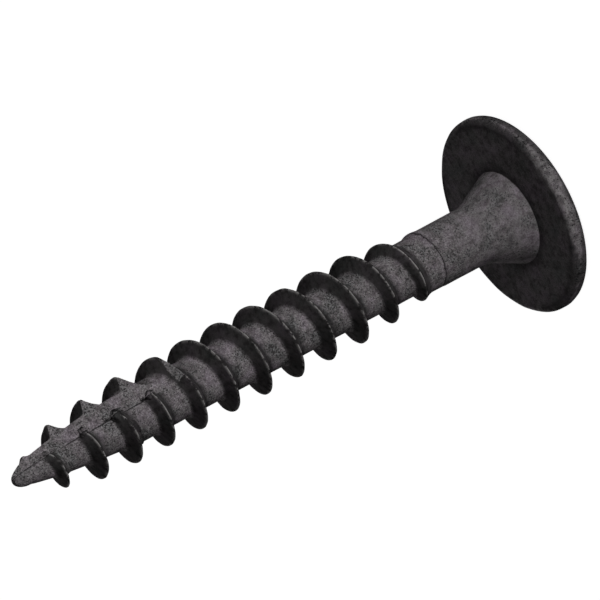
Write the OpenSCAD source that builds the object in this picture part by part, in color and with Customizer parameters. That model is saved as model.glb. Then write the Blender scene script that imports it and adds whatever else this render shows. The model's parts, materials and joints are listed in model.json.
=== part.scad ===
// Washer-head wood screw with a six-lobe drive and a notched cutting point.
// It stands on the flat top of its head with the point upwards.
// The origin is the centre of the head's top face, and +Z runs along the axis to the point.
// All sizes are in millimetres.

/* [Length] */
// Length under the head, from the bearing face to the point
grip_len = 37.1; // [34:0.1:44]
// Smooth length under the head, neck included, before the thread runs out
plain_len = 5.8; // [5.4:0.1:8]

/* [Head] */
// Diameter of the washer head
head_d = 12.3; // [11:0.1:14]
// Thickness of the washer head
head_t = 1; // [0.96:0.02:1.4]
// Radius of the head's rounded edges, above and below
head_edge_r = 0.42; // [0.2:0.02:0.46]
// Diameter of the conical neck where it meets the bearing face
neck_base_d = 5.8; // [5.4:0.1:6.6]
// Half angle of the conical neck
neck_angle = 24; // [22:1:32]
// Radius of the hollow between neck and shank
neck_fillet_r = 2.5; // [1:0.1:3]
// Diameter of the plain shank
shank_d = 3.6; // [3.4:0.05:3.8]

/* [Thread] */
// Diameter over the thread crests
thread_d = 5.03; // [4.7:0.05:5.5]
// Distance from one crest to the next along the axis
thread_pitch = 2.415; // [2.3:0.005:2.8]
// Root diameter behind the tapered point
root_d_point = 3.16; // [3:0.02:3.3]
// Root diameter at the head end of the thread
root_d_head = 2.92; // [2.8:0.02:3.2]
// Width of the flat on the crest
crest_w = 0.09; // [0.06:0.01:0.16]
// Width of the flank that faces the point
front_flank_w = 0.4; // [0.3:0.02:0.5]
// Width of the flank that faces the head
back_flank_w = 0.64; // [0.5:0.02:0.9]
// How hollow the flanks are: 1 is straight, more is hollower
flank_hollow = 1.4; // [1:0.1:2]
// Length over which the crest sinks to the shank at the head end
crest_runout = 5.7; // [3:0.1:8]
// Turns over which the root rises to the shank at the head end
root_runout = 0.8; // [0.5:0.05:1.5]
// Angle about the axis at which the thread runs out
runout_angle = -77; // [-180:1:180]

/* [Point] */
// Length of the root's taper to the point
root_taper = 8.8; // [6:0.2:12]
// Bluntness of the root's taper: less is blunter
point_power = 0.365; // [0.3:0.005:0.5]
// Length over which the crest reaches its full height
crest_taper = 8.5; // [6:0.1:11]

/* [Notch] */
// Angle about the axis of the notch wall that the thread bites with
notch_angle = 18; // [-180:1:180]
// Diameter of the wheel that cuts the notch
notch_wheel_d = 62; // [44:1:70]
// How far the wheel cuts past the axis at its deepest
notch_past_axis = 0.22; // [0:0.02:0.4]
// Distance of the deepest cut from the point
notch_deepest = 0.6; // [0:0.1:2]
// Share of the thread's height that is missing where it meets the notch's flat wall
dip_at_flat = 0.55; // [0:0.05:0.7]
// Share that is missing where it meets the notch's curved wall
dip_at_curve = 0.15; // [0:0.05:0.5]

/* [Drive] */
// Diameter over the six lobes of the drive
drive_d = 3.95; // [3.7:0.05:4.1]
// Distance between the hollows on opposite sides of the drive
drive_flats = 2.85; // [2.75:0.05:2.95]
// Radius of each lobe's tip
lobe_r = 0.29; // [0.24:0.01:0.32]
// Depth of the drive's straight walls
drive_depth = 1.75; // [1.4:0.05:1.8]
// Diameter of the cone at the bottom of the drive
drive_cone_d = 2.7; // [2.4:0.05:2.7]
// Depth of that cone below the straight walls
drive_cone_h = 0.35; // [0.2:0.05:0.4]
// Width of the bevel round the drive's mouth
drive_bevel = 0.12; // [0.06:0.02:0.2]

/* [Hidden] */

// Overall length and where the thread starts to run out, from the point
full_len = head_t + grip_len;
runout_start = grip_len - plain_len;

// Radii
head_r = head_d / 2;
neck_base_r = neck_base_d / 2;
shank_r = shank_d / 2;
thread_r = thread_d / 2;

// The threaded body lies this much inside the shank where they overlap
tuck = 0.02;
tucked_r = shank_r - tuck;
tuck_len = 0.3;

// Steps in one turn of the thread
turn_steps = 28;
// Closer to the point than this, the thread's rings are drawn together
squeeze_from = 1.2;
// Where the last crest step lies, from the point
last_crest = 0.35;
// Rings between the thread's last turn and the point
nib_rings = 3;

// Thread section: shares of each flank's width at which the section has a corner
back_shares = [1, 0.72, 0.46, 0.22];
front_shares = [0.3, 0.65, 1];
half_crest = crest_w / 2;
land_w = thread_pitch - crest_w - front_flank_w - back_flank_w;
// Each entry is [distance from the crest towards the point, share of the thread's height]
section = concat(
    [for (u = back_shares) [-half_crest - u * back_flank_w, pow(1 - u, flank_hollow)]],
    [[-half_crest, 1], [half_crest, 1]],
    [for (u = front_shares) [half_crest + u * front_flank_w, pow(1 - u, flank_hollow)]],
    [[half_crest + front_flank_w + land_w / 2, 0]]
);
section_n = len(section);
crest_at = len(back_shares);

// Number of steps along the whole thread
steps = ceil(turn_steps * (runout_start - last_crest) / thread_pitch);

// Corners of one arc, from angle a0 to a1 about a centre
arc_steps = 8;
function arc(centre, r, a0, a1, n = arc_steps) =
    [for (i = [0:n]) let (a = a0 + (a1 - a0) * i / n) centre + r * [cos(a), sin(a)]];

function clamp01(x) = min(1, max(0, x));

// Distance from the point, drawn together near it so that it never reaches zero
function squeezed(d) =
    d > squeeze_from ? d : squeeze_from * exp((d - squeeze_from) / squeeze_from);

// Root radius at a distance from the point, after some turns of the thread
function root_r(d, turns = 2) =
    let (
        along = clamp01((d - root_taper) / (runout_start - root_taper)),
        full = (root_d_point + (root_d_head - root_d_point) * along) / 2,
        tapered = full * pow(min(d, root_taper) / root_taper, point_power)
    )
    tucked_r + (tapered - tucked_r) * clamp01(turns / root_runout);

// Crest radius at a distance from the point
function crest_r(d) =
    let (
        grown = thread_r * (1 - pow(1 - clamp01(d / crest_taper), 3)),
        risen = clamp01((runout_start - d) / crest_runout)
    )
    min(grown, tucked_r + (thread_r - tucked_r) * risen);

// The wheel leaves the thread at this distance from the point
notch_len = notch_deepest + sqrt(pow(notch_wheel_d / 2, 2)
    - pow(notch_wheel_d / 2 - notch_past_axis - thread_r, 2));

// Share of the thread's height that is there at an angle about the axis. The rolled thread
// did not fill beside the notch. That dip dies out over dip_angle on both sides of each wall,
// and along the thread it is full up to half the notch's length and gone at its end.
dip_angle = 50;
function angle_between(a, b) = abs(((a - b + 180) % 360 + 360) % 360 - 180);
function dip(a, wall) = pow(clamp01(1 - angle_between(a, wall) / dip_angle), 2);
function filled(a, d) =
    1 - (dip_at_curve * dip(a, notch_angle) + dip_at_flat * dip(a, notch_angle - 90))
        * clamp01(2 * (notch_len - d) / notch_len);

// Distance of a crest step from the point
function crest_d(k) = runout_start - thread_pitch * k / turn_steps;

// One corner of the thread: step k along the helix, corner j of the section
function corner_d(k, j) =
    squeezed(j == section_n
        ? crest_d(k + turn_steps) - section[0][0]
        : crest_d(k) - section[j][0]);

function corner_angle(k) = runout_angle + 360 * k / turn_steps;

// The groove in front of the crest belongs to this turn, and the one behind it to the last
function corner_r(k, j) =
    let (
        turns = k / turn_steps - (j < crest_at ? 1 : 0),
        root = root_r(corner_d(k, j), turns),
        height = crest_r(crest_d(k)) - root_r(squeezed(crest_d(k)), turns),
        share = j == section_n ? 0 : section[j][1]
    )
    root + max(0, height) * share * filled(corner_angle(k), crest_d(k));

function on_axis_turn(k, d, r) =
    let (a = corner_angle(k)) [r * cos(a), r * sin(a), full_len - d];

function corner(k, j) = on_axis_turn(k, corner_d(k, j), corner_r(k, j));

// The rings that close the point: ring 0 is the edge of the last turn, and the last one
// lies square to the axis. They crowd together towards the point, where the nib is round.
first_nib = steps - turn_steps + 1;
nib_end_d = 0.3 * corner_d(steps, section_n);
nib_crowding = 1.5;
function nib_d(i, ring) =
    let (edge_d = corner_d(first_nib + i, section_n))
    nib_end_d + (edge_d - nib_end_d) * pow(1 - ring / nib_rings, nib_crowding);

ring_d = runout_start - section[0][0] + tuck_len;
thread_points = concat(
    [for (k = [0:turn_steps - 1]) on_axis_turn(k, ring_d, tucked_r)],
    [for (k = [0:steps]) for (j = [0:section_n - 1]) corner(k, j)],
    [for (ring = [0:nib_rings]) for (i = [0:turn_steps - 1])
        on_axis_turn(first_nib + i, nib_d(i, ring), root_r(nib_d(i, ring)))],
    [[0, 0, full_len]]
);

// Places of the corners in the list above
function helix_at(k, j) = turn_steps + k * section_n + j;
function nib_at(i, ring) = turn_steps + (steps + 1) * section_n + ring * turn_steps + i;
function corner_at(k, j) =
    j < section_n ? helix_at(k, j)
    : k + turn_steps <= steps ? helix_at(k + turn_steps, 0)
    : nib_at(k - first_nib, 0);
apex_at = len(thread_points) - 1;

// Two triangles across four corners
function quad(a, b, c, d) = [[a, b, c], [a, c, d]];

// Triangles between two columns of corners whose heights differ, taken in order of height
function zip(left, right, i = 0, j = 0) =
    let (left_ends = i == len(left) - 1, right_ends = j == len(right) - 1)
    left_ends && right_ends ? []
    : right_ends || (!left_ends && thread_points[left[i + 1]].z <= thread_points[right[j + 1]].z)
        ? concat([[left[i], left[i + 1], right[j]]], zip(left, right, i + 1, j))
        : concat([[left[i], right[j + 1], right[j]]], zip(left, right, i, j + 1));

thread_faces = concat(
    [[for (k = [0:turn_steps - 1]) k]],
    [for (k = [0:turn_steps - 2])
        for (f = quad(k, helix_at(k, 0), helix_at(k + 1, 0), k + 1)) f],
    zip([turn_steps - 1, helix_at(turn_steps - 1, 0)],
        concat([0], [for (j = [0:section_n]) corner_at(0, j)])),
    [for (k = [0:steps - 1]) for (j = [0:section_n - 1])
        for (f = quad(corner_at(k, j), corner_at(k, j + 1),
                      corner_at(k + 1, j + 1), corner_at(k + 1, j))) f],
    [for (ring = [0:nib_rings - 1]) for (i = [0:turn_steps - 2])
        for (f = quad(nib_at(i, ring), nib_at(i, ring + 1),
                      nib_at(i + 1, ring + 1), nib_at(i + 1, ring))) f],
    zip(concat([for (j = [0:section_n]) corner_at(steps, j)],
               [for (ring = [1:nib_rings]) nib_at(turn_steps - 1, ring)]),
        [for (ring = [0:nib_rings]) nib_at(0, ring)]),
    [for (i = [0:turn_steps - 1])
        [nib_at(i, nib_rings), apex_at, nib_at((i + 1) % turn_steps, nib_rings)]]
);

// Root core, thread, run-out and blunt point as one closed body
module threaded_body() {
    polyhedron(points = thread_points, faces = thread_faces, convexity = 10);
}

// Outline of head, neck and shank, from the axis outwards
neck_fillet_end = neck_fillet_r * tan(neck_angle / 2);
neck_corner_z = head_t + (neck_base_r - shank_r) / tan(neck_angle);
head_outline = concat(
    [[0, 0]],
    arc([head_r - head_edge_r, head_edge_r], head_edge_r, -90, 0),
    arc([head_r - head_edge_r, head_t - head_edge_r], head_edge_r, 0, 90),
    [[neck_base_r, head_t]],
    arc([shank_r + neck_fillet_r, neck_corner_z + neck_fillet_end], neck_fillet_r,
        180 + neck_angle, 180),
    [[shank_r, head_t + plain_len], [0, head_t + plain_len]]
);

module head_and_shank() {
    rotate_extrude($fn = 96)
        polygon(head_outline);
}

// Cutting notch: the wheel's rim leaves the curved wall and its side leaves the flat one
notch_wheel_t = thread_d;
module notch() {
    rotate([0, 0, notch_angle])
        translate([0, notch_past_axis - notch_wheel_d / 2, full_len - notch_deepest])
            rotate([0, 90, 0])
                cylinder(d = notch_wheel_d, h = notch_wheel_t, $fn = 180);
}

// Six-lobe outline: lobes and hollows are arcs that meet smoothly.
// The hollow's radius follows from the two diameters and the lobe's radius.
lobe_c = drive_d / 2 - lobe_r;
hollow_r = (pow(drive_flats / 2, 2) + lobe_c * lobe_c - drive_flats * lobe_c * cos(30)
    - lobe_r * lobe_r) / (2 * lobe_r + 2 * lobe_c * cos(30) - drive_flats);
hollow_c = drive_flats / 2 + hollow_r;
// Angle at the lobe's centre at which lobe and hollow meet
meet = atan2(hollow_c * sin(30), hollow_c * cos(30) - lobe_c);
lobes = [for (i = [0:5]) 60 * i];
// The hollow's arc has its two ends on the lobes, which have those points already
function inner(points) = [for (i = [1:len(points) - 2]) points[i]];
drive_outline = [for (a = lobes) for (p = concat(
    arc(lobe_c * [cos(a), sin(a)], lobe_r, a - meet, a + meet),
    inner(arc(hollow_c * [cos(a + 30), sin(a + 30)], hollow_r, a + 180 + meet, a + 240 - meet))
)) p];

module drive_recess() {
    translate([0, 0, -drive_bevel])
        linear_extrude(height = drive_depth + drive_bevel)
            polygon(drive_outline);
    // The cone starts inside the walls, so that the drive has a floor for the bit to stand on
    translate([0, 0, drive_depth])
        cylinder(r1 = drive_cone_d / 2, r2 = 0, h = drive_cone_h, $fn = 96);
    translate([0, 0, -drive_bevel])
        cylinder(r1 = drive_d / 2 + drive_bevel, r2 = drive_d / 2 - drive_bevel,
                 h = 2 * drive_bevel, $fn = 96);
}

module screw() {
    color([0.15, 0.145, 0.145])
        difference() {
            union() {
                head_and_shank();
                threaded_body();
            }
            notch();
            drive_recess();
        }
}

screw();
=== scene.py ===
# %% [markdown]
# # A black washer-head wood screw
# This lesson models one wood screw, from the flat washer head to the notched point.
# The CAD model is loaded first as a fixed frame. It gives the sizes and the place.
# The screw is then modelled again with a finer mesh, and gets the finish of the real one.

import json
import math

import bpy
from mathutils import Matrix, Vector, noise

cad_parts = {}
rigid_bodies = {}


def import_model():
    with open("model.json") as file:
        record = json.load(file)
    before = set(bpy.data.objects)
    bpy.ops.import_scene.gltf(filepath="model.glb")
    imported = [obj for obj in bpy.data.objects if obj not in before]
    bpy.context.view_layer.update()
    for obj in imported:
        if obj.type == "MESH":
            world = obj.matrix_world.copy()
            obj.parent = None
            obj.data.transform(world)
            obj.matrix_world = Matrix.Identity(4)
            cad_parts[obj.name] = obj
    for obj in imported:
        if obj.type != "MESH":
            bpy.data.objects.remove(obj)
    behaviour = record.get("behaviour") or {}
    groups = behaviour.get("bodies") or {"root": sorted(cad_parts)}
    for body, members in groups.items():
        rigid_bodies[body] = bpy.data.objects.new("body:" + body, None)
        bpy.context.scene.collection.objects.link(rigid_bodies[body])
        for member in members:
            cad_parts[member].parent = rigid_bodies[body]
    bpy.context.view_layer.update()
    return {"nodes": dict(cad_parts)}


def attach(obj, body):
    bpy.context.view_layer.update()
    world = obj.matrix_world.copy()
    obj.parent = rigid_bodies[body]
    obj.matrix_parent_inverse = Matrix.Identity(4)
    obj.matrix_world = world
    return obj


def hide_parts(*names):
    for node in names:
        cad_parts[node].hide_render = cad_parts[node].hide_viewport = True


for leftover in list(bpy.data.objects):
    bpy.data.objects.remove(leftover)
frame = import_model()
bpy.ops.object.select_all(action="DESELECT")
print("CAD nodes:", sorted(frame["nodes"]))

MM = 0.001

# %% [markdown]
# ## Camera
# The photograph looks down at the head's underside, 30 degrees off square to the screw,
# and the picture is rolled so that the screw lies across it with the point at the lower left.
# Lines along the screw stay parallel in it, so the lens is long and the camera far away.
# The camera's three axes are written out, because a roll like this one is clearer so.

# %% Camera
CAMERA_RIGHT = Vector((-0.4679, -0.4419, -0.7654))
CAMERA_UP = Vector((0.8838, -0.2340, -0.4052))
CAMERA_BACK = Vector((0, -0.8660, 0.5))
LOOK_AT = Vector((1.364, 0.037, 15.814)) * MM
CAMERA_FAR = 1.2
PICTURE_WIDE = 34.5 * MM

camera_data = bpy.data.cameras.new("camera")
camera = bpy.data.objects.new("camera", camera_data)
bpy.context.scene.collection.objects.link(camera)
bpy.context.scene.camera = camera
camera_data.lens = camera_data.sensor_width * CAMERA_FAR / PICTURE_WIDE
camera_data.clip_end = 20
turn = camera.matrix_world.to_3x3()
for axis, column in enumerate((CAMERA_RIGHT, CAMERA_UP, CAMERA_BACK)):
    for row in range(3):
        turn[row][axis] = column[row]
camera.matrix_world = turn.to_4x4()
camera.location = LOOK_AT + CAMERA_BACK * CAMERA_FAR
print("lens:", round(camera_data.lens), "mm")

# %% [markdown]
# ## Sizes
# These are the screw's own sizes in millimetres, the same as in the CAD model.
# The origin is the centre of the head's flat top, and +Z runs along the screw to the point.
# `d` always stands for a distance from the point, measured along the screw.

# %% Sizes
FULL_LEN = 38.1
HEAD_R = 6.15
HEAD_T = 1.0
HEAD_EDGE_R = 0.42
NECK_BASE_R = 2.9
NECK_ANGLE = math.radians(24)
NECK_FILLET_R = 2.5
SHANK_R = 1.8
SHANK_END = 6.8

THREAD_R = 2.515
PITCH = 2.415
ROOT_R_POINT = 1.58
ROOT_R_HEAD = 1.46
CREST_W = 0.09
FRONT_FLANK_W = 0.4
BACK_FLANK_W = 0.64
FLANK_HOLLOW = 1.4
CREST_RUNOUT = 5.7
ROOT_RUNOUT = 0.8
RUNOUT_ANGLE = math.radians(-77)
RUNOUT_START = FULL_LEN - SHANK_END

ROOT_TAPER = 8.8
POINT_POWER = 0.365
CREST_TAPER = 8.5
CREST_TAPER_POWER = 3

NOTCH_ANGLE = math.radians(18)
WHEEL_R = 31
NOTCH_PAST_AXIS = 0.22
NOTCH_DEEPEST = 0.6
print("screw:", FULL_LEN, "mm long,", 2 * HEAD_R, "mm over the head,", 2 * THREAD_R, "mm thread")

# %% [markdown]
# ## Helpers
# A modeller draws an outline by placing one vertex and extruding it from point to point.
# `draw_outline` does the same. `finish_with` adds one modifier and applies it at once.

# %% Helpers
MERGE_NEAR = 0.001 * MM


def select_only(piece):
    bpy.ops.object.select_all(action="DESELECT")
    piece.select_set(True)
    bpy.context.view_layer.objects.active = piece


def edit_all(piece):
    """Opens the piece in edit mode with everything selected."""
    select_only(piece)
    bpy.ops.object.mode_set(mode="EDIT")
    bpy.ops.mesh.select_all(action="SELECT")


def merge_doubles():
    bpy.ops.mesh.remove_doubles(threshold=MERGE_NEAR)


def close_edit():
    bpy.ops.object.mode_set(mode="OBJECT")


def draw_outline(name, points):
    """One vertex at the first point, extruded to each of the next. Points are in mm."""
    bpy.ops.mesh.primitive_plane_add(size=MM, location=Vector(points[0]) * MM)
    piece = bpy.context.object
    piece.name = name
    bpy.ops.object.transform_apply()
    edit_all(piece)
    bpy.ops.mesh.merge(type="CENTER")
    for here, there in zip(points, points[1:]):
        step = (Vector(there) - Vector(here)) * MM
        bpy.ops.mesh.extrude_region_move(TRANSFORM_OT_translate={"value": step})
    close_edit()
    return piece


def finish_with(piece, kind, **settings):
    select_only(piece)
    modifier = piece.modifiers.new(kind.lower(), kind)
    for key, value in settings.items():
        setattr(modifier, key, value)
    bpy.ops.object.modifier_apply(modifier=modifier.name)


# %% [markdown]
# Three small functions shape most of what fades on this screw. `clamp01` keeps a value
# between 0 and 1, `rising` grows from a start, and `near` falls off on both sides of a place.


# %% Fades
def clamp01(value):
    return min(1.0, max(0.0, value))


def rising(value, start, slope):
    """0 up to the start, and from there up to 1 by the slope."""
    return clamp01(slope * (value - start))


def near(away, wide):
    """1 where the distance is 0, fading to 0 over the width."""
    return clamp01(1 - abs(away) / wide)


# %% [markdown]
# ## Thread section
# A rolled wood thread is thin and lopsided: steep on the side that faces the point, and long
# and hollow on the side that faces the head. The section drawn here is exactly one pitch
# long. So when it is swept along the helix, the front edge of each turn meets the back edge
# of the next, and the thread and the groove between its turns are one skin.
# Each entry is the distance from the crest towards the point, and the share of full height.

# %% Thread section
HALF_CREST = CREST_W / 2
LAND_W = PITCH - CREST_W - FRONT_FLANK_W - BACK_FLANK_W
CREST_BACK_SHARE = 0.985
CREST_FRONT_SHARE = 0.98
BACK_STEPS = 9
FRONT_STEPS = 7
LAND_STEPS = 6


def flank_share(u):
    return (1 - u) ** FLANK_HOLLOW


section = [(-HALF_CREST - BACK_FLANK_W * i / BACK_STEPS, flank_share(i / BACK_STEPS))
           for i in range(BACK_STEPS, 0, -1)]
back_corners = len(section)
section += [(-HALF_CREST, CREST_BACK_SHARE), (-HALF_CREST / 2, 1.0),
            (HALF_CREST / 2, 1.0), (HALF_CREST, CREST_FRONT_SHARE)]
section += [(HALF_CREST + FRONT_FLANK_W * i / FRONT_STEPS, flank_share(i / FRONT_STEPS))
            for i in range(1, FRONT_STEPS + 1)]
section += [(HALF_CREST + FRONT_FLANK_W + LAND_W * i / LAND_STEPS, 0.0)
            for i in range(1, LAND_STEPS + 1)]
print("section corners:", len(section), "over", round(section[-1][0] - section[0][0], 4), "mm")

# %% [markdown]
# ## Sweep the thread
# The Screw modifier turns the section about Z and lifts it by the pitch each turn, which is
# what thread rolling does. It starts one turn early, where the thread has no height yet, so
# that the skin is whole all round where the thread begins.

# %% Sweep the thread
STEPS_PER_TURN = 120
TURNS = 14
EARLY_TURNS = 1
first_crest_z = SHANK_END - EARLY_TURNS * PITCH

start = Vector((math.cos(RUNOUT_ANGLE), math.sin(RUNOUT_ANGLE), 0)) * SHANK_R
screw = draw_outline("screw_body",
                     [start + Vector((0, 0, first_crest_z + along)) for along, share in section])
finish_with(screw, "SCREW", axis="Z", angle=math.tau, screw_offset=PITCH * MM,
            iterations=TURNS, steps=STEPS_PER_TURN, render_steps=STEPS_PER_TURN,
            use_merge_vertices=False, use_smooth_shade=True)
print("swept:", len(screw.data.vertices), "vertices")

# %% [markdown]
# ## Taper the thread
# The swept skin is still a plain tube. Now every vertex is moved out or in to its own radius.
# The root swells a little towards the point and then closes to the blunt nib. The crest
# grows from the point, and sinks into the shank at the head end. Beside the notch the crest
# is lower, because a rolling die can't fill the thread there.
# The rolled part starts a hair thinner than the plain shank, as on the real screw.

# %% Radii along the screw
ROLLED_THINNER = 0.02
TIP_LEAST = 0.02
DIP_AT_FLAT = 0.55
DIP_AT_CURVE = 0.15
DIP_ANGLE = math.radians(50)
DIP_GROWS = 2
THREAD_START_R = SHANK_R - ROLLED_THINNER
notch_len = NOTCH_DEEPEST + math.sqrt(WHEEL_R ** 2 - (WHEEL_R - NOTCH_PAST_AXIS - THREAD_R) ** 2)


def root_radius(d, turns=2.0):
    """Root radius at a distance from the point, after some turns of the thread."""
    d = max(d, TIP_LEAST)
    along = clamp01((d - ROOT_TAPER) / (RUNOUT_START - ROOT_TAPER))
    full = ROOT_R_POINT + (ROOT_R_HEAD - ROOT_R_POINT) * along
    tapered = full * (min(d, ROOT_TAPER) / ROOT_TAPER) ** POINT_POWER
    return THREAD_START_R + (tapered - THREAD_START_R) * clamp01(turns / ROOT_RUNOUT)


def crest_radius(d):
    grown = THREAD_R * (1 - (1 - clamp01(d / CREST_TAPER)) ** CREST_TAPER_POWER)
    risen = clamp01((RUNOUT_START - d) / CREST_RUNOUT)
    return min(grown, THREAD_START_R + (THREAD_R - THREAD_START_R) * risen)


def dip(angle, wall):
    """How strongly a notch wall lowers the thread at an angle, on either side of the wall."""
    away = abs((angle - wall + math.pi) % math.tau - math.pi)
    return clamp01(1 - away / DIP_ANGLE) ** 2


def filled(angle, d):
    """Share of the thread's height that is left beside the notch."""
    lost = (DIP_AT_CURVE * dip(angle, NOTCH_ANGLE)
            + DIP_AT_FLAT * dip(angle, NOTCH_ANGLE - math.pi / 2))
    return 1 - lost * clamp01(DIP_GROWS * (notch_len - d) / notch_len)


print("notch:", round(notch_len, 2), "mm long")

# %% [markdown]
# ## Wear and folds of the thread
# Three small things make this thread a used one. Where the notch cuts a thread, its corner is
# worn round. In two places the rolling dies folded the crest, which shows as a second ridge
# beside it. And the back of the first, torn thread is hollower than that of the others.
# Each fold is given by the turns where it starts and ends, its distance from the crest
# towards the point, and its share of the thread's height.

# %% Wear and folds
CORNER_WORN = 0.12
CORNER_WORN_W = 0.28
FOLDS = ((9.8, 10.03, -0.34, 0.42), (0.8, 1.1, 0.19, 0.34))
FOLD_W = 0.09
FOLD_ENDS = 4
FOLD_LUMPY = 0.9
FOLD_LUMPS_PER_TURN = 60
TORN_TO = 3.6
TORN_HOLLOW = 1.3


def notch_place(place):
    """Distance of a place from the notch's flat wall, and from the rim of its wheel."""
    along = place.x * math.cos(NOTCH_ANGLE) + place.y * math.sin(NOTCH_ANGLE)
    across = place.y * math.cos(NOTCH_ANGLE) - place.x * math.sin(NOTCH_ANGLE)
    rim = math.hypot(across - NOTCH_PAST_AXIS + WHEEL_R,
                     place.z - FULL_LEN + NOTCH_DEEPEST) - WHEEL_R
    return along, rim


def folded(turns, along):
    """Height that the folds add to the thread, as a share of its own."""
    ridge = 0.0
    for start, end, offset, high in FOLDS:
        grown = clamp01(FOLD_ENDS * (turns - start) / (end - start))
        inside = grown * clamp01(FOLD_ENDS * (end - turns) / (end - start))
        lumps = Vector((turns * FOLD_LUMPS_PER_TURN, offset, 5.2))
        lumpy = 1 + FOLD_LUMPY * noise.noise(lumps)
        ridge += high * inside * lumpy * math.exp(-((along - offset) / FOLD_W) ** 2)
    return ridge


print("folds:", len(FOLDS))

# %% [markdown]
# ## Move the vertices
# A real crest is never quite even, so a little noise along the helix moves it by hundredths
# of a millimetre, and by more near the point. The noise is a fixed field in space. The bare
# numbers in a place that is given to it, here and below, only pick the slice that is read.

# %% Move each vertex of the thread
CREST_RAGGED = 0.025
CREST_TORN = 0.05
RAGGED_PER_TURN = 9
FINE_RAGGED_PER_TURN = 27
FINE_RAGGED_SHARE = 0.6


def on_turn(angle, radius, d):
    return Vector((radius * math.cos(angle), radius * math.sin(angle), FULL_LEN - d))


def ragged_at(turns):
    coarse = noise.noise(Vector((turns * RAGGED_PER_TURN, 3.7, 0)))
    return coarse + FINE_RAGGED_SHARE * noise.noise(Vector((turns * FINE_RAGGED_PER_TURN, 8.1, 0)))


def thread_vertex(step, corner):
    along, share = section[corner]
    turns = step / STEPS_PER_TURN - EARLY_TURNS
    crest_d = RUNOUT_START - PITCH * turns
    d = crest_d - along
    groove = turns - (1 if corner < back_corners else 0)
    angle = RUNOUT_ANGLE + math.tau * turns
    root = root_radius(d, groove)
    height = max(0.0, crest_radius(crest_d) - root_radius(crest_d, groove))
    if corner < back_corners:
        share **= 1 + TORN_HOLLOW * clamp01(TORN_TO - crest_d)
    share = min(1.0, share + folded(turns, along))
    ragged = ragged_at(turns) * (CREST_RAGGED + CREST_TORN * clamp01(1 - crest_d / CREST_TAPER))
    radius = root + height * share * (filled(angle, crest_d) + ragged)
    flat, rim = notch_place(on_turn(angle, radius, d))
    radius -= CORNER_WORN * share * (1 - clamp01(max(-flat, rim) / CORNER_WORN_W)) ** 2
    return on_turn(angle, radius, d) * MM


corners = len(section)
for vertex in screw.data.vertices:
    vertex.co = thread_vertex(vertex.index // corners, vertex.index % corners)
edit_all(screw)
merge_doubles()
close_edit()
print("thread skin:", len(screw.data.vertices), "vertices after the turns are joined")

# %% [markdown]
# ## Nib
# The skin is cut square just behind the point, where the thread has died out and the section
# is round. The cut edge is then extruded ring by ring to the rounded nib and closed.
# At the other end it is cut just past the plain shank, and left open for the join.
# The nib of this screw is knocked a little to one side, so it is bent last.

# %% Nib
NIB_START = 0.8
NIB_RINGS = (0.66, 0.52, 0.39, 0.28, 0.19, 0.12, 0.065, 0.03, 0.01)
NIB_BENT = 0.13
NIB_BENT_LEN = 1.0
JOIN_LEN = 0.06
CUT_NEAR = 0.0001 * MM


def cut_square(z, keep_below):
    """Cuts at a height in mm and leaves the cut edge selected."""
    bpy.ops.mesh.select_all(action="SELECT")
    bpy.ops.mesh.bisect(plane_co=(0, 0, z * MM), plane_no=(0, 0, 1), threshold=CUT_NEAR,
                        clear_outer=keep_below, clear_inner=not keep_below)


def extrude_up(length):
    bpy.ops.mesh.extrude_region_move(TRANSFORM_OT_translate={"value": (0, 0, length * MM)})


edit_all(screw)
cut_square(SHANK_END + JOIN_LEN, keep_below=False)
cut_square(FULL_LEN - NIB_START, keep_below=True)
last = NIB_START
for ring in NIB_RINGS:
    extrude_up(last - ring)
    narrower = root_radius(ring) / root_radius(last)
    bpy.ops.transform.resize(value=(narrower, narrower, 1), center_override=(0, 0, 0))
    last = ring
extrude_up(last)
bpy.ops.mesh.merge(type="CENTER")
close_edit()
for vertex in screw.data.vertices:
    d = FULL_LEN - vertex.co.z / MM
    vertex.co.x -= NIB_BENT * clamp01(1 - (d / NIB_BENT_LEN) ** 2) * MM
print("nib top:", round(max(v.co.z for v in screw.data.vertices) / MM, 3), "mm")

# %% [markdown]
# ## Head, neck and shank
# The head is forged and turned about the same axis, so its outline is drawn once and spun.
# The outline runs from the centre of the top face over the rounded rim, back along the
# underside, down the cone of the neck and through its hollow to the shank.
# Straight stretches get extra points, because the forging marks need vertices to move.

# %% Head outline
ARC_STEPS = 8
LONGEST_STEP = 0.25


def arc_angles(start_deg, end_deg, count):
    steps = (start_deg + (end_deg - start_deg) * i / count for i in range(count + 1))
    return [math.radians(degrees) for degrees in steps]


def arc(centre_x, centre_z, r, start_deg, end_deg):
    return [(centre_x + r * math.cos(a), 0, centre_z + r * math.sin(a))
            for a in arc_angles(start_deg, end_deg, ARC_STEPS)]


def stretch(points, longest):
    """Adds points so that no straight step is longer than the given length."""
    out = [Vector(points[0])]
    for there in map(Vector, points[1:]):
        count = max(1, math.ceil((there - out[-1]).length / longest))
        here = out[-1]
        out += [here.lerp(there, i / count) for i in range(1, count + 1)]
    return out


neck_corner = HEAD_T + (NECK_BASE_R - SHANK_R) / math.tan(NECK_ANGLE)
fillet_z = neck_corner + NECK_FILLET_R * math.tan(NECK_ANGLE / 2)
outline = [(0, 0, 0)]
outline += arc(HEAD_R - HEAD_EDGE_R, HEAD_EDGE_R, HEAD_EDGE_R, -90, 0)
outline += arc(HEAD_R - HEAD_EDGE_R, HEAD_T - HEAD_EDGE_R, HEAD_EDGE_R, 0, 90)
outline += [(NECK_BASE_R, 0, HEAD_T)]
outline += arc(SHANK_R + NECK_FILLET_R, fillet_z, NECK_FILLET_R,
               180 + math.degrees(NECK_ANGLE), 180)
outline += [(SHANK_R, 0, SHANK_END)]
print("outline corners:", len(outline))

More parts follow.
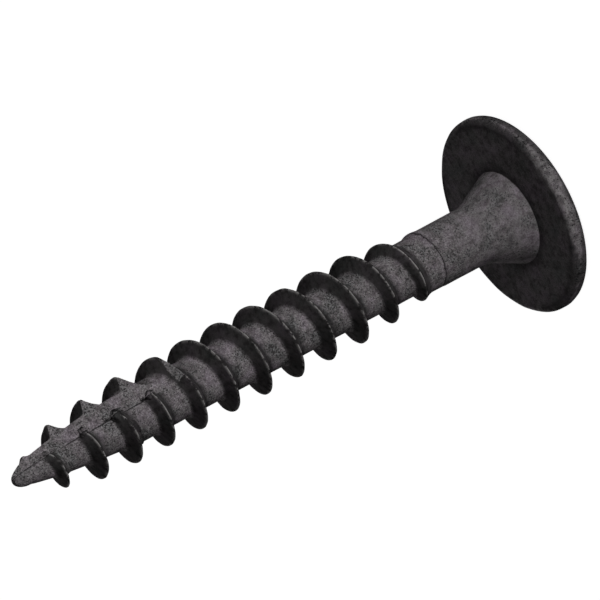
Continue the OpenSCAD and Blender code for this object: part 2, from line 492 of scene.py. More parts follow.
# %% Spin the head
HEAD_SPIN_STEPS = 144
head = draw_outline("head", stretch(outline, LONGEST_STEP))
edit_all(head)
bpy.ops.mesh.spin(steps=HEAD_SPIN_STEPS, angle=math.tau, center=(0, 0, 0), axis=(0, 0, 1))
bpy.ops.mesh.select_all(action="SELECT")
merge_doubles()
close_edit()
print("head:", len(head.data.polygons), "faces")

# %% [markdown]
# ## Join the shank to the thread
# Both skins are open here, so their two rims are bridged. The rolled part is a hair thinner
# than the plain shank, which leaves the fine step that the real screw has.

# %% Join
select_only(screw)
head.select_set(True)
bpy.ops.object.join()
edit_all(screw)
bpy.ops.mesh.select_all(action="DESELECT")
bpy.ops.mesh.select_mode(type="EDGE")
bpy.ops.mesh.select_non_manifold(extend=False, use_wire=False, use_multi_face=False,
                                 use_non_contiguous=False, use_verts=False)
bpy.ops.mesh.bridge_edge_loops()
bpy.ops.mesh.select_mode(type="VERT")
bpy.ops.mesh.select_all(action="SELECT")
bpy.ops.mesh.normals_make_consistent(inside=False)
close_edit()
print("body:", len(screw.data.polygons), "faces")

# %% [markdown]
# ## Forging and rolling marks
# No face of the real screw is quite true. A slow noise moves every vertex along its normal
# by about a hundredth of a millimetre, which is enough for the light to show. The rim has
# deeper flats, which make its outline a little uneven. They only go inwards.
# The head's top is left true, because the screw stands on it.

# %% Marks
MARK_DEEP = 0.014
MARKS_PER_MM = 0.9
FINE_MARKS_PER_MM = 2.6
FINE_MARK_SHARE = 0.45
MARKS_FROM_Z = 0.2
RIM_FLAT_DEEP = 0.06
RIM_FLATS_PER_MM = 0.5
RIM_FLATS_FROM_R = HEAD_R - 0.9 * HEAD_EDGE_R


def mark_at(place):
    if math.hypot(place.x, place.y) > RIM_FLATS_FROM_R:
        round_rim = Vector((place.x, place.y, 4.4)) * RIM_FLATS_PER_MM
        return -RIM_FLAT_DEEP * abs(noise.noise(round_rim))
    fine_mark = FINE_MARK_SHARE * noise.noise(place * FINE_MARKS_PER_MM)
    return MARK_DEEP * (noise.noise(place * MARKS_PER_MM) + fine_mark)


normals = [vertex.normal.copy() for vertex in screw.data.vertices]
for vertex, normal in zip(screw.data.vertices, normals):
    place = vertex.co / MM
    if place.z > MARKS_FROM_Z:
        vertex.co += normal * mark_at(place) * MM
print("marked above", MARKS_FROM_Z, "mm")

# %% [markdown]
# ## Notch
# A thin grinding wheel cuts the quarter notch in the point. Its rim leaves the long curved
# wall and its side the flat one. The cutter here is that wheel at its real size.

# %% Notch
WHEEL_STEPS = 600


def work_with(tool, operation):
    """Cuts a tool out of the screw, or unites the two, and then removes the tool."""
    finish_with(screw, "BOOLEAN", operation=operation, solver="MANIFOLD", object=tool)
    bpy.data.objects.remove(tool)


wheel_w = 2 * THREAD_R
away = Vector((wheel_w / 2, NOTCH_PAST_AXIS - WHEEL_R, FULL_LEN - NOTCH_DEEPEST))
place = Vector((away.x * math.cos(NOTCH_ANGLE) - away.y * math.sin(NOTCH_ANGLE),
                away.x * math.sin(NOTCH_ANGLE) + away.y * math.cos(NOTCH_ANGLE), away.z))
bpy.ops.mesh.primitive_cylinder_add(vertices=WHEEL_STEPS, radius=WHEEL_R * MM,
                                    depth=wheel_w * MM, location=place * MM,
                                    rotation=(0, math.pi / 2, NOTCH_ANGLE))
wheel = bpy.context.object
bpy.ops.object.transform_apply()
work_with(wheel, "DIFFERENCE")
print("notched:", len(screw.data.polygons), "faces")

# %% [markdown]
# ## Knobs on the cut thread ends
# The wheel didn't cut cleanly. On the flat wall it dragged the end of each thread over the
# edge, where it sits as a round knob that hangs a little into the notch. Each knob is an
# icosphere, drawn out along the thread, dented by noise and united with the screw.
# Each entry is the turn, the radius of the knob's centre, and its half sizes along the
# thread, outwards and along the screw.

# %% Knobs
KNOBS = ((12.03, 0.95, 0.22, 0.2, 0.2), (11.015, 1.64, 0.3, 0.26, 0.29),
         (10.008, 1.74, 0.4, 0.38, 0.42), (9.013, 1.97, 0.28, 0.27, 0.29))
KNOB_DENT = 0.3
DENTS_PER_KNOB_R = 1.6
KNOBS_APART = 7
HELIX_MEAN_R = 2
HELIX_LEAN = math.atan(PITCH / (math.tau * HELIX_MEAN_R))


def add_knob(turns, away, half_along, half_out, half_up):
    angle = RUNOUT_ANGLE + math.tau * turns
    bpy.ops.mesh.primitive_ico_sphere_add(subdivisions=4, radius=MM)
    knob = bpy.context.object
    slice_of_knob = Vector((turns * KNOBS_APART, 0, 0))
    for vertex in knob.data.vertices:
        dents = noise.noise(vertex.co / MM * DENTS_PER_KNOB_R + slice_of_knob)
        vertex.co *= 1 + KNOB_DENT * dents
    knob.scale = (half_out, half_along, half_up)
    bpy.ops.object.transform_apply()
    knob.rotation_euler = (HELIX_LEAN, 0, angle)
    knob.location = on_turn(angle, away, RUNOUT_START - PITCH * turns) * MM
    bpy.ops.object.transform_apply()
    work_with(knob, "UNION")


for knob_sizes in KNOBS:
    add_knob(*knob_sizes)
print("with knobs:", len(screw.data.polygons), "faces")

# %% [markdown]
# ## Drive
# The six-lobe recess is pressed into the head's top. Its outline is six small lobes joined by
# six wide hollows, all arcs that meet smoothly. The size over the lobes, the size across the
# hollows and a lobe's radius are known. The hollow's radius, and the angle where the two arcs
# meet, follow from them. The punch is modelled and then cut away.

# %% Drive
DRIVE_R = 1.975
DRIVE_FLAT_R = 1.425
LOBE_R = 0.29
DRIVE_DEEP = 1.75
LOBES = 6
HALF_STEP = 180 / LOBES
LOBE_ARC_STEPS = 10
PUNCH_STANDS_OUT = 0.5

lobe_c = DRIVE_R - LOBE_R
half_cos = math.cos(math.pi / LOBES)
hollow_r = ((DRIVE_FLAT_R ** 2 + lobe_c ** 2 - 2 * DRIVE_FLAT_R * lobe_c * half_cos - LOBE_R ** 2)
            / (2 * LOBE_R + 2 * lobe_c * half_cos - 2 * DRIVE_FLAT_R))
hollow_c = DRIVE_FLAT_R + hollow_r
meet = math.degrees(math.atan2(hollow_c / 2, hollow_c * half_cos - lobe_c))


def flat_spoke(angle):
    return Vector((math.cos(angle), math.sin(angle), 0))


def flat_arc(away, away_deg, r, start_deg, end_deg):
    centre = flat_spoke(math.radians(away_deg)) * away
    return [centre + flat_spoke(a) * r for a in arc_angles(start_deg, end_deg, LOBE_ARC_STEPS)]


drive_outline = []
for lobe in range(LOBES):
    at = lobe * 360 / LOBES
    drive_outline += flat_arc(lobe_c, at, LOBE_R, at - meet, at + meet)
    drive_outline += flat_arc(hollow_c, at + HALF_STEP, hollow_r,
                              at + 180 + meet, at + 180 + 2 * HALF_STEP - meet)[1:-1]
punch = draw_outline("punch", [p - Vector((0, 0, PUNCH_STANDS_OUT)) for p in drive_outline])
edit_all(punch)
bpy.ops.mesh.edge_face_add()
extrude_up(DRIVE_DEEP + PUNCH_STANDS_OUT)
bpy.ops.mesh.select_all(action="SELECT")
bpy.ops.mesh.normals_make_consistent(inside=False)
close_edit()
work_with(punch, "DIFFERENCE")
print("hollow radius:", round(hollow_r, 3), "mm, punched:", len(screw.data.polygons), "faces")

# %% [markdown]
# The punch has a blunt cone at its end and a collar that bevels the mouth of the recess.
# Both are cut as cones. The first starts a hair inside the recess, so that no skin is left
# between the two.

# %% Cone and bevel of the drive
CONE_R = 1.35
CONE_DEEP = 0.35
BEVEL_W = 0.12
OVERLAP = 0.01


def cut_cone(bottom_r, top_r, bottom_z, deep):
    bpy.ops.mesh.primitive_cone_add(vertices=HEAD_SPIN_STEPS, radius1=bottom_r * MM,
                                    radius2=top_r * MM, depth=deep * MM,
                                    location=(0, 0, (bottom_z + deep / 2) * MM))
    cone = bpy.context.object
    bpy.ops.object.transform_apply()
    work_with(cone, "DIFFERENCE")


cut_cone(CONE_R * (1 + OVERLAP / CONE_DEEP), 0, DRIVE_DEEP - OVERLAP, CONE_DEEP + OVERLAP)
cut_cone(DRIVE_R + BEVEL_W, DRIVE_R - BEVEL_W, -BEVEL_W, 2 * BEVEL_W)
print("with drive:", len(screw.data.polygons), "faces")

# %% [markdown]
# ## Shading
# Faces that meet gently are shaded smooth and real edges stay crisp.

# %% Shading
SMOOTH_UP_TO = 32
select_only(screw)
bpy.ops.object.shade_smooth_by_angle(angle=math.radians(SMOOTH_UP_TO))
print("smooth up to", SMOOTH_UP_TO, "degrees")

# %% [markdown]
# ## Rubbed crests, and painted shade on the flanks
# The root and the neck are pale and grainy, because dies and hands have rubbed them. The
# flanks of the thread get the full black coat, which is partly their own coat and partly
# painted shade, as the light comes square to the screw. Painted shade also blotches the root
# just behind each crest and darkens the foot of the long flank. On each thin crest the front
# edge is rubbed to a fine pale line, with a line of painted shade behind it. The knobs have
# lost most of their coat, and get painted shade where they face into the notch.
# Four values tell the finish where all that is: rubbed and highlight, dirt and shade, coat and
# shade, and whether the edge of the notch's flat wall is near. For a place on the thread they
# follow from its distance to the nearest crest, and from its share of the thread's height there.

# %% Coat of the thread
RUBBED_W = 0.06
CREST_SHADE_W = 0.07
COAT_AND_SHADE_FROM = 0.02
COAT_AND_SHADE_TO = 0.13
LOW_THREAD = 0.3
LOW_SHARE = 0.3
THREAD_SHOWS = (0.15, 6)
# The HOLLOW values shape the painted shade behind each crest.
HOLLOW_SHOWS = (0.4, 2.5)
HOLLOW_W = 1.15
HOLLOW_SHARE = 2.0
HOLLOW_BLOTCHY = 0.9
BLOTCHES_PER_MM = 2.3
POINT_CLEAN = 0.2
# Width and strength of the painted shade at the foot of the long flank.
FOOT_W = 0.13
FOOT_SHADE = 0.7
KNOB_COATED = 0.3
KNOB_SHADE = (0.3, 4)
WALL_NEAR = 0.02
EDGE_NEAR = 0.5
EDGE_TO = 9.4


# A knob gets painted shade on the side that faces into the notch.
def knob_coat(normal):
    turned_in = normal.x * math.cos(NOTCH_ANGLE) + normal.y * math.sin(NOTCH_ANGLE)
    return 0, rising(turned_in, *KNOB_SHADE), KNOB_COATED, 0


def thread_coat(place, normal):
    """The four coat values for a place on the thread: wear, dirt and painted shade, coat and
    painted shade, and whether the notch's edge is near.
    """
    flat, rim = notch_place(place)
    if flat > WALL_NEAR and rim < 0:
        return knob_coat(normal)
    d = FULL_LEN - place.z
    turns = (RUNOUT_START - d) / PITCH
    helix = (math.atan2(place.y, place.x) - RUNOUT_ANGLE) / math.tau
    off = ((turns - helix + 0.5) % 1 - 0.5) * PITCH
    crest_turns = turns - off / PITCH
    root = root_radius(d, crest_turns - (1 if off < -HALF_CREST else 0))
    height = crest_radius(RUNOUT_START - PITCH * crest_turns) - root
    share = (math.hypot(place.x, place.y) - root) / max(LOW_THREAD, height)
    share *= rising(height, *THREAD_SHOWS)
    shade_behind_crest, foot_shade = 0.0, 0.0
    # Painted shade: black blotches on the root just behind the crest, and a dark band at the foot
    # of the long flank.
    if off < 0:
        blotchy = 1 + HOLLOW_BLOTCHY * noise.noise(place * BLOTCHES_PER_MM)
        deep = rising(height, *HOLLOW_SHOWS) * clamp01(d / CREST_TAPER - POINT_CLEAN)
        shade_behind_crest = deep * clamp01(HOLLOW_SHARE * blotchy * clamp01(1 + off / HOLLOW_W))
        foot_shade = deep * FOOT_SHADE * near(off + HALF_CREST + BACK_FLANK_W, FOOT_W)
    # Black where the thread rises: partly its own coat, partly painted shade on the flanks. Behind
    # each crest it is painted shade.
    coat_and_shade = max(clamp01((share - COAT_AND_SHADE_FROM) / (COAT_AND_SHADE_TO - COAT_AND_SHADE_FROM)), shade_behind_crest)
    edge = 1 if abs(flat) < EDGE_NEAR and rim < 0 and d < EDGE_TO else 0
    if share < LOW_SHARE:
        return 0, foot_shade, coat_and_shade, edge
    # A fine pale rubbed line on the crest's front edge, and a line of painted shade just behind
    # it.
    return near(off - CREST_W / 4, RUBBED_W), near(off + CREST_W / 2, CREST_SHADE_W), coat_and_shade, edge


# %% [markdown]
# ## Streaks on the rim
# The rim of the head is paler in three long streaks, partly rubbed wear, and darker between
# them. Each streak has an uneven outline and is palest along its middle. The streak that faces
# the main light and the camera is a painted highlight. The underside, outside the neck, gets
# part of the black coat as painted shade.

# %% Coat of the head
RIM_STREAKS = 3
RIM_STREAK_AT = math.radians(-95)
RIM_STREAK_Z = 0.67
RIM_STREAK_W = 0.31
STREAK_MEAN = 0.5
STREAK_SWING = 1.1
RIM_UNEVEN = 0.12
RIM_UNEVEN_PER_MM = 1.7
RIM_BLEND = 0.07
RIM_INWARD = 0.35
RIM_DARKER = 0.6
RIM_WEAR_AND_HIGHLIGHT = 0.6
RIM_PALE_Z = 0.76
RIM_PALE_W = 0.24
UNDERSIDE_SHADE = 0.3
FACE_NEAR = 0.02
NECK_NEAR = 0.05


def head_coat(place):
    """The same four values for the head."""
    off_axis = math.hypot(place.x, place.y)
    turned = RIM_STREAKS * (math.atan2(place.y, place.x) - RIM_STREAK_AT)
    in_streak = clamp01(STREAK_MEAN + STREAK_SWING * math.cos(turned))
    uneven = RIM_UNEVEN * noise.noise(place * RIM_UNEVEN_PER_MM)
    wide = RIM_STREAK_W * in_streak + uneven
    off_streak = clamp01((abs(place.z - RIM_STREAK_Z) - wide) / RIM_BLEND)
    on_rim = clamp01(1 - (HEAD_R - HEAD_EDGE_R - off_axis) / RIM_INWARD)
    # The pale streak that faces the main light is a painted highlight. The others are rubbed wear.
    rubbed_and_highlight = RIM_WEAR_AND_HIGHLIGHT * in_streak * on_rim * near(place.z - RIM_PALE_Z, RIM_PALE_W)
    # The head's underside outside the neck gets part of the black coat as painted shade.
    underside = place.z > HEAD_T - FACE_NEAR and off_axis > NECK_BASE_R + NECK_NEAR
    # The rim is darker outside the streaks.
    return rubbed_and_highlight, RIM_DARKER * off_streak * on_rim, UNDERSIDE_SHADE if underside else 0, 0


# %% [markdown]
# ## Write the coat on the mesh
# The four values become attributes that the material reads. They are kept for each corner of
# a face, so that the bare walls of the notch can differ from the flanks that they cut. The
# edges between the two are marked sharp, so that no shading runs over them.


# %% Attributes
def coat_at(place, normal):
    if place.z <= HEAD_T + FACE_NEAR:
        return head_coat(place)
    return thread_coat(place, normal) if place.z > SHANK_END else (0, 0, 0, 0)


def on_notch_wall(centre):
    flat, rim = notch_place(centre)
    return flat > -WALL_NEAR and min(abs(rim), abs(flat)) < WALL_NEAR and rim < WALL_NEAR


def edges_of(face_numbers):
    return {key for number in face_numbers for key in screw.data.polygons[number].edge_keys}


coats = [coat_at(vertex.co / MM, vertex.normal) for vertex in screw.data.vertices]
notch_walls = {face.index for face in screw.data.polygons if on_notch_wall(face.center / MM)}
other_faces = {face.index for face in screw.data.polygons} - notch_walls
for kind, name in enumerate(("rubbed_and_highlight", "dirt_and_shade", "coat_and_shade", "edge")):
    layer = screw.data.attributes.new(name, "FLOAT", "CORNER")
    for number in other_faces:
        for corner in screw.data.polygons[number].loop_indices:
            layer.data[corner].value = coats[screw.data.loops[corner].vertex_index][kind]
sharp = edges_of(notch_walls) & edges_of(other_faces)
for edge in screw.data.edges:
    if edge.key in sharp:
        edge.use_edge_sharp = True
print("notch wall faces:", len(notch_walls), "with sharp edges:", len(sharp))

# %% [markdown]
# ## Black coating
# The real finish is a matt black phosphate coating: fine crystals with dark pores between
# them, a mottle where the crystals grew thicker or thinner, and slow patches that lean warm
# or cool. It has no gloss. All of it is one node group, so that its scales and colours are
# in one place. The same group also paints the shade and the highlight that the attributes mark.


# %% Node group
def new_group(name, inputs, outputs):
    group = bpy.data.node_groups.new(name, "ShaderNodeTree")
    for label, kind, value in inputs:
        socket = group.interface.new_socket(label, in_out="INPUT", socket_type=kind)
        if value is not None:
            socket.default_value = value
    for label, kind in outputs:
        group.interface.new_socket(label, in_out="OUTPUT", socket_type=kind)
    return group, group.nodes.new("NodeGroupInput"), group.nodes.new("NodeGroupOutput")


grain_group, group_in, group_out = new_group(
    "coating_with_painted_light",
    [("Place", "NodeSocketVector", None), ("Rubbed_and_highlight", "NodeSocketFloat", 0.0),
     ("Dirt_and_shade", "NodeSocketFloat", 0.0), ("Coat_and_shade", "NodeSocketFloat", 0.0),
     ("Edge", "NodeSocketFloat", 0.0)],
    [("Colour", "NodeSocketColor"), ("Roughness", "NodeSocketFloat"),
     ("Height", "NodeSocketFloat")])
nodes, links = grain_group.nodes, grain_group.links
print("group:", grain_group.name)

# %% [markdown]
# `feed` gives a socket its value, whether that is fixed or comes from another node. Each of
# the other helpers adds one node to the group, and returns what that node puts out.


# %% Node helpers
def feed(socket, value):
    """Writes a number or a colour on a socket, and links anything else to it."""
    if isinstance(value, (int, float)):
        socket.default_value = value
    elif isinstance(value, tuple):
        socket.default_value = (*value, 1)
    else:
        links.new(value, socket)


def math_node(operation, first, second, clamp=False):
    node = nodes.new("ShaderNodeMath")
    node.operation = operation
    node.use_clamp = clamp
    feed(node.inputs[0], first)
    feed(node.inputs[1], second)
    return node.outputs[0]


def mix_colour(factor, first, second, blend="MIX"):
    node = nodes.new("ShaderNodeMix")
    node.data_type = "RGBA"
    node.blend_type = blend
    feed(node.inputs[0], factor)
    feed(node.inputs[6], first)
    feed(node.inputs[7], second)
    return node.outputs[2]


def ramp(value, stops):
    node = nodes.new("ShaderNodeValToRGB")
    elements = node.color_ramp.elements
    while len(elements) < len(stops):
        elements.new(0.5)
    for element, (place, colour) in zip(elements, stops):
        element.position = place
        element.color = (*colour, 1)
    links.new(value, node.inputs["Fac"])
    return node.outputs["Color"]


def mask(value, black_at, white_at):
    return ramp(value, [(black_at, (0, 0, 0)), (white_at, (1, 1, 1))])


def noise_at(per_m, detail, roughness):
    node = nodes.new("ShaderNodeTexNoise")
    node.inputs["Scale"].default_value = per_m
    node.inputs["Detail"].default_value = detail
    node.inputs["Roughness"].default_value = roughness
    links.new(group_in.outputs["Place"], node.inputs["Vector"])
    return node.outputs["Fac"]


# %% [markdown]
# ## Places on the screw
# Where a colour changes along the screw or with the distance from its axis, one Map Range
# node turns that length into a mask.

# %% Heights and distances
height_of = nodes.new("ShaderNodeSeparateXYZ")
links.new(group_in.outputs["Place"], height_of.inputs[0])
x_squared = math_node("POWER", height_of.outputs["X"], 2)
y_squared = math_node("POWER", height_of.outputs["Y"], 2)
off_axis = math_node("SQRT", math_node("ADD", x_squared, y_squared), 0)


def risen(start, end, length=None):
    """0 below one height in mm and 1 above another, or the same of any other length."""
    node = nodes.new("ShaderNodeMapRange")
    node.inputs["From Min"].default_value = start * MM
    node.inputs["From Max"].default_value = end * MM
    links.new(height_of.outputs["Z"] if length is None else length, node.inputs["Value"])
    return node.outputs["Result"]


# %% [markdown]
# ## Grain and pores
# The grain runs from dark to pale, crystal by crystal. The rolled part is coarser than the
# neck, with darker pores. The rim's pores are the darkest, and the underside of the head has
# the fewest. Where the coat and shade value is high, the grain is black instead: that is the
# full coat, and painted shade on the flanks, behind the crests and on the head's underside.

# %% Grain
GRAIN_PER_M = 11000
PORE_PER_M = 9500
MOTTLE_PER_M = 2600
PATCH_PER_M = 750
NOISE_MIDDLE = 0.5
NECK_TO_ROLLED = (4.2, 7.5)

fine = noise_at(GRAIN_PER_M, detail=3, roughness=0.65)
mottle = noise_at(MOTTLE_PER_M, detail=3, roughness=0.6)
patch = noise_at(PATCH_PER_M, detail=3, roughness=0.55)
rolled = risen(*NECK_TO_ROLLED)
even_grain = ramp(fine, [(0.36, (0.135, 0.128, 0.131)), (0.5, (0.19, 0.179, 0.185)),
                         (0.66, (0.25, 0.237, 0.245))])
coarse_grain = ramp(fine, [(0.36, (0.105, 0.1, 0.102)), (0.5, (0.19, 0.179, 0.185)),
                           (0.64, (0.32, 0.303, 0.312))])
mottle_colour = ramp(mottle, [(0.34, (0.6, 0.59, 0.59)), (0.5, (1, 1, 1)),
                              (0.66, (1.2, 1.2, 1.21))])
patch_colour = ramp(patch, [(0.34, (0.84, 0.88, 0.86)), (0.5, (1, 0.98, 0.98)),
                            (0.66, (1.1, 1.02, 1.1))])


def mottled(colour):
    """A colour multiplied by the mottle, and by the warm and cool patches."""
    by_mottle = mix_colour(1.0, colour, mottle_colour, "MULTIPLY")
    return mix_colour(1.0, by_mottle, patch_colour, "MULTIPLY")


grain_colour = mottled(mix_colour(rolled, even_grain, coarse_grain))

# %% Pores, black coat and painted shade
PORES_OPEN = (0.33, 0.4)
PORES_BY_PATCH = 0.7
UNDERSIDE_FROM = (HEAD_T - 0.2, HEAD_T - 0.05)
UNDERSIDE_TO = (HEAD_T + 0.03, HEAD_T + 0.2)
UNDERSIDE_PORE_FREE = 0.7
RIM_TO = (HEAD_T - 0.12, HEAD_T - 0.02)
NECK_PORES = (0.08, 0.076, 0.078)
ROLLED_PORES = (0.05, 0.0475, 0.0485)
RIM_PORES = (0.028, 0.0265, 0.027)
BLACK_LOW = (0.038, 0.036, 0.037)
BLACK_HIGH = (0.088, 0.084, 0.085)

pores = noise_at(PORE_PER_M, detail=1, roughness=0.5)
by_patch = math_node("MULTIPLY", math_node("SUBTRACT", patch, NOISE_MIDDLE), PORES_BY_PATCH)
crowded = math_node("ADD", pores, by_patch)
underside = math_node("SUBTRACT", risen(*UNDERSIDE_FROM), risen(*UNDERSIDE_TO))
pore_free = math_node("MULTIPLY", underside, UNDERSIDE_PORE_FREE)
between_pores = math_node("MAXIMUM", mask(crowded, *PORES_OPEN), pore_free)
pore_colour = mix_colour(rolled, NECK_PORES, ROLLED_PORES)
pore_colour = mix_colour(risen(*RIM_TO), RIM_PORES, pore_colour)
pored = mix_colour(between_pores, pore_colour, grain_colour)
black = mottled(mix_colour(fine, BLACK_LOW, BLACK_HIGH))
coat_and_shade = mix_colour(group_in.outputs["Coat_and_shade"], pored, black)
print("nodes for the grain:", len(nodes))

# %% [markdown]
# ## Dirt, painted shade and rubbed lines
# Dirt, painted shade and the rubbed lines lie over the grain. Besides what the attribute
# gives, there are two thin dark lines of painted shade: a painted shadow along the edge of the
# notch's flat wall, and one round the shank at the step where the thread starts. Each of the
# two is where a plane cuts the skin. More painted shade sits on the underside of the head, in
# the corner round the foot of the neck. The pale line on the crests and the rim's streaks come
# last, and are broken where the metal is nicked. The streak that faces the light is a painted
# highlight.

# %% Dark lines, dirt and painted shade
# The colour of dirt and of painted shade.
DIRT_AND_SHADE_COLOUR = (0.018, 0.017, 0.018)
START_LINE_LEAN = (-0.06, -0.05, 1)
START_LINE_Z = 7.27
NECK_CORNER_W = 0.65
NECK_CORNER_SHADE = 0.65
NECK_FOOT = (NECK_BASE_R - 0.02, NECK_BASE_R)
CORNER_FROM = (HEAD_T - 0.2, HEAD_T - 0.1)


def along_plane(normal, offset, wide, wavy):
    """1 where a plane cuts the skin, fading to 0 over the given width. Lengths are in mm."""
    node = nodes.new("ShaderNodeVectorMath")
    node.operation = "DOT_PRODUCT"
    links.new(group_in.outputs["Place"], node.inputs[0])
    node.inputs[1].default_value = Vector(normal) / MM
    wave = math_node("MULTIPLY", math_node("SUBTRACT", mottle, NOISE_MIDDLE), wavy)
    away = math_node("SUBTRACT", math_node("ADD", node.outputs["Value"], wave), offset)
    widths = math_node("DIVIDE", math_node("ABSOLUTE", away, 0), wide)
    return math_node("SUBTRACT", 1, widths, clamp=True)


# A painted shadow along the edge of the notch's flat wall.
into_notch = (math.cos(NOTCH_ANGLE), math.sin(NOTCH_ANGLE), 0)
edge_shadow_line = math_node("MULTIPLY", group_in.outputs["Edge"],
                      along_plane(into_notch, offset=-0.03, wide=0.07, wavy=0.05))
# Painted shade at the step round the shank where the thread starts.
step_shade_line = along_plane(START_LINE_LEAN, offset=START_LINE_Z, wide=0.09, wavy=0.3)
# Painted shade in the corner between the head's underside and the foot of the neck.
by_neck = math_node("SUBTRACT", risen(*NECK_FOOT, off_axis),
                    risen(NECK_BASE_R, NECK_BASE_R + NECK_CORNER_W, off_axis))
in_corner = math_node("MULTIPLY", by_neck, risen(*CORNER_FROM))
corner_shade = math_node("MULTIPLY", in_corner, NECK_CORNER_SHADE)
dirt_and_shade_mask = math_node("MAXIMUM", math_node("MAXIMUM", group_in.outputs["Dirt_and_shade"], corner_shade),
                 math_node("MAXIMUM", edge_shadow_line, step_shade_line))
dirt_and_shade = mix_colour(dirt_and_shade_mask, coat_and_shade, DIRT_AND_SHADE_COLOUR)

# %% Rubbed lines and painted highlight, and what the group puts out
PALE_COLOUR = (0.42, 0.405, 0.4)
RUBBED_POWER = 1.6
NICKED = (0.64, 0.73)
FINE_NICKS = 0.4
ROUGH_LEAST = 0.55
ROUGH_MORE = 0.3
PORE_DEEP = 0.5

nicks = math_node("ADD", mottle, math_node("MULTIPLY", fine, FINE_NICKS))
rubbed_and_highlight = math_node("POWER", group_in.outputs["Rubbed_and_highlight"], RUBBED_POWER)
pale_line = math_node("MULTIPLY", rubbed_and_highlight, mask(nicks, *NICKED))
roughness = math_node("ADD", ROUGH_LEAST, math_node("MULTIPLY", fine, ROUGH_MORE))
height = math_node("ADD", fine, math_node("MULTIPLY", between_pores, PORE_DEEP))
links.new(mix_colour(pale_line, dirt_and_shade, PALE_COLOUR), group_out.inputs["Colour"])
links.new(roughness, group_out.inputs["Roughness"])
links.new(height, group_out.inputs["Height"])
print("nodes in the group:", len(nodes))

# %% [markdown]
# ## Coating material
# The material itself is short: the group's colour, roughness and height go to one shader,
# the height by a Bump node. The coat is neither metal nor glossy, so both of those are 0.

# %% Coating material
BUMP_STRENGTH = 0.6
BUMP_DEEP = 0.02 * MM

coating = bpy.data.materials.new("black_coating")
coating.use_nodes = True
nodes, links = coating.node_tree.nodes, coating.node_tree.links
shader = nodes["Principled BSDF"]
shader.inputs["Metallic"].default_value = 0.0
shader.inputs["Specular IOR Level"].default_value = 0.0
coords = nodes.new("ShaderNodeTexCoord")
grain = nodes.new("ShaderNodeGroup")
grain.node_tree = grain_group
bump = nodes.new("ShaderNodeBump")
bump.inputs["Strength"].default_value = BUMP_STRENGTH
bump.inputs["Distance"].default_value = BUMP_DEEP
links.new(coords.outputs["Object"], grain.inputs["Place"])
for line in ("rubbed_and_highlight", "dirt_and_shade", "coat_and_shade", "edge"):
    line_node = nodes.new("ShaderNodeAttribute")
    line_node.attribute_name = line
    links.new(line_node.outputs["Fac"], grain.inputs[line.capitalize()])
links.new(grain.outputs["Colour"], shader.inputs["Base Color"])
links.new(grain.outputs["Roughness"], shader.inputs["Roughness"])
links.new(grain.outputs["Height"], bump.inputs["Height"])
links.new(bump.outputs["Normal"], shader.inputs["Normal"])
screw.data.materials.clear()
screw.data.materials.append(coating)
print("material:", coating.name)

# %% [markdown]
# ## Floor and backdrop
# The screw stands on a pale floor. In the camera's view, and in what gloss and glass would
# show, the floor and the world are plain white, and the floor still takes the screw's faint
# shadow. The white comes from the Light Path node, so it puts no more light on the screw.

# %% Floor
FLOOR_WIDE = 8
FLOOR_GREY = 0.8
FLOOR_GLOW = 0.94

bpy.ops.mesh.primitive_plane_add(size=FLOOR_WIDE, location=(0, 0, 0))
floor = bpy.context.object
floor.name = "floor"
floor_material = bpy.data.materials.new("floor")
floor_material.use_nodes = True
nodes, links = floor_material.node_tree.nodes, floor_material.node_tree.links
nodes.clear()


def seen_directly(nodes, links):
    """1 for the camera's rays and for those of gloss and glass."""
    path = nodes.new("ShaderNodeLightPath")
    value = path.outputs["Is Camera Ray"]
    for other in ("Is Glossy Ray", "Is Transmission Ray"):
        node = nodes.new("ShaderNodeMath")
        node.operation = "MAXIMUM"
        links.new(value, node.inputs[0])
        links.new(path.outputs[other], node.inputs[1])
        value = node.outputs[0]
    return value


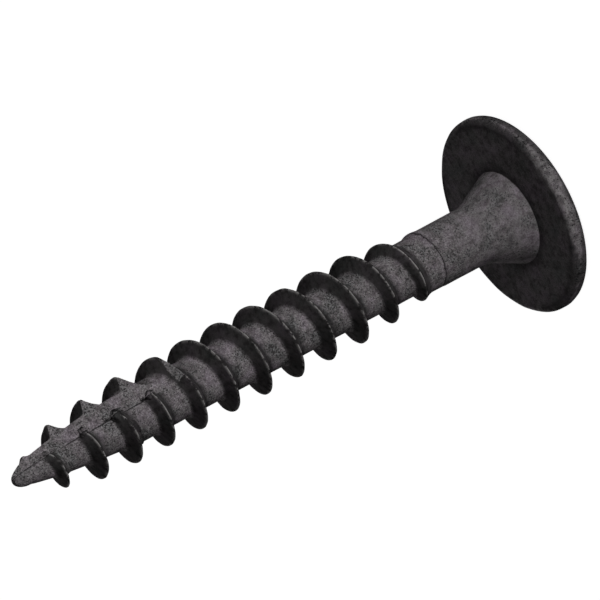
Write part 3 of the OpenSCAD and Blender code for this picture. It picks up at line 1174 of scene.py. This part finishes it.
pale = nodes.new("ShaderNodeBsdfDiffuse")
pale.inputs["Color"].default_value = (FLOOR_GREY, FLOOR_GREY, FLOOR_GREY, 1)
glow = nodes.new("ShaderNodeEmission")
links.new(seen_directly(nodes, links), glow.inputs["Strength"])
glow.inputs["Color"].default_value = (FLOOR_GLOW, FLOOR_GLOW, FLOOR_GLOW, 1)
both = nodes.new("ShaderNodeAddShader")
output = nodes.new("ShaderNodeOutputMaterial")
links.new(pale.outputs[0], both.inputs[0])
links.new(glow.outputs[0], both.inputs[1])
links.new(both.outputs[0], output.inputs["Surface"])
floor.data.materials.append(floor_material)
print("floor:", FLOOR_WIDE, "m wide")

# %% World
WORLD_LEVEL = 0.08
world = bpy.data.worlds.new("world")
bpy.context.scene.world = world
world.use_nodes = True
nodes, links = world.node_tree.nodes, world.node_tree.links
background = nodes["Background"]
background.inputs["Color"].default_value = (1, 1, 1, 1)
level = nodes.new("ShaderNodeMapRange")
level.inputs["To Min"].default_value = WORLD_LEVEL
level.inputs["To Max"].default_value = 1.0
links.new(seen_directly(nodes, links), level.inputs["Value"])
links.new(level.outputs["Result"], background.inputs["Strength"])
print("world:", WORLD_LEVEL, "on the screw, 1.0 in view")

# %% [markdown]
# ## Light
# The main light comes square to the screw from the camera's side. At a strength of pi, a
# surface that faces it renders in its colour as written. A weak light from behind shapes
# the far side.

# %% Lamps
MAIN_STRENGTH = math.pi
BACK_STRENGTH = 1.3
LAMP_FAR = 0.3


def sun(name, comes_from, strength, soft_deg):
    data = bpy.data.lights.new(name, "SUN")
    data.energy = strength
    data.angle = math.radians(soft_deg)
    lamp = bpy.data.objects.new(name, data)
    bpy.context.scene.collection.objects.link(lamp)
    lamp.rotation_euler = Vector(comes_from).to_track_quat("Z", "Y").to_euler()
    lamp.location = Vector(comes_from).normalized() * LAMP_FAR


sun("main_light", (0.25, -0.97, 0.0), MAIN_STRENGTH, 10)
sun("back_light", (-0.25, 0.95, 0.03), BACK_STRENGTH, 20)

bpy.context.scene.view_settings.view_transform = "Standard"
print("lamps:", len(bpy.data.lights))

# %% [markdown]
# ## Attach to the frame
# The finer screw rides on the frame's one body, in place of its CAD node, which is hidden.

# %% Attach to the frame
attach(screw, "root")
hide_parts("screw")
print("triangles:", sum(len(face.vertices) - 2 for face in screw.data.polygons))
